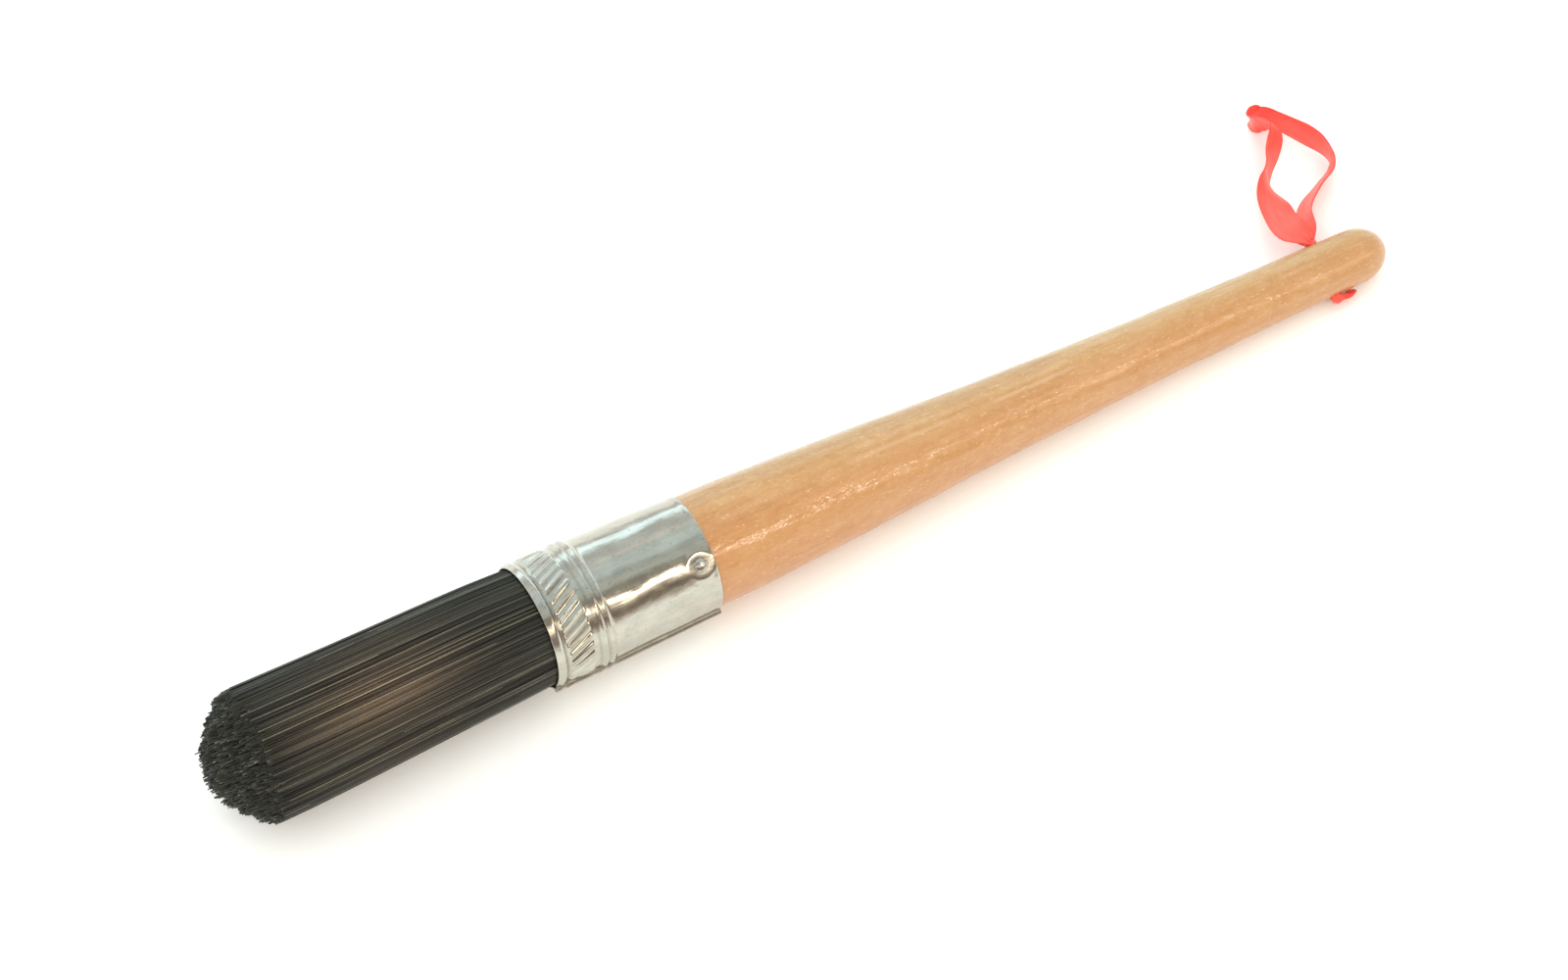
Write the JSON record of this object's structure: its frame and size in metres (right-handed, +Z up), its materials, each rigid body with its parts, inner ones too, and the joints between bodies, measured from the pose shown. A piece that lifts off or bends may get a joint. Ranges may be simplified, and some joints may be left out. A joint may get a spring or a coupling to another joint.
{
  "type": "round detail brush",
  "caption": "Round stiff-bristled brush with a seamed tinplate ferrule, turned wooden handle and ribbon hanging loop, for cleaning and coating small parts.",
  "frame": {"origin": "middle of the brush's box, without its ribbon, on the surface it lies on", "axes": "+X along the brush from bristle tip to handle butt, level; +Z up; +Y towards the side the hanging loop lies on"},
  "size_m": [0.303, 0.0631, 0.0333],
  "materials": {
    "handle_wood": "clear-lacquered light hardwood, satin gloss",
    "tinplate": "bright tin-plated steel sheet, lightly marked",
    "pin_steel": "plated steel nail",
    "resin": "set epoxy resin",
    "bristle": "stiff black synthetic filament",
    "ribbon": "coral-red satin ribbon"
  },
  "bodies": {
    "brush": {"handle": "handle_wood", "ferrule_shell": "tinplate", "ferrule_pin_near": "pin_steel", "ferrule_pin_far": "pin_steel", "bristle_set_resin": "resin", "bristle_root": "bristle", "ribbon_shank": "ribbon", "ribbon_knot": "ribbon"},
    "bristles": {"bristle_bundle": "bristle"},
    "hanging_loop": {"ribbon_loop": "ribbon"}
  },
  "joints": [
    {"name": "bristle_flex", "type": "hinge", "parent": "brush", "child": "bristles", "pos_m": [-0.06774, 0, 0.01507], "axis": [0, 1, 0], "range_deg": [-20, 20], "stiffness_Nm_per_rad": 0.8},
    {"name": "loop_swing", "type": "hinge", "parent": "brush", "child": "hanging_loop", "pos_m": [0.13371, 0.00599, 0.00965], "axis": [0, 0, 1], "range_deg": [-35, 38]}
  ]
}
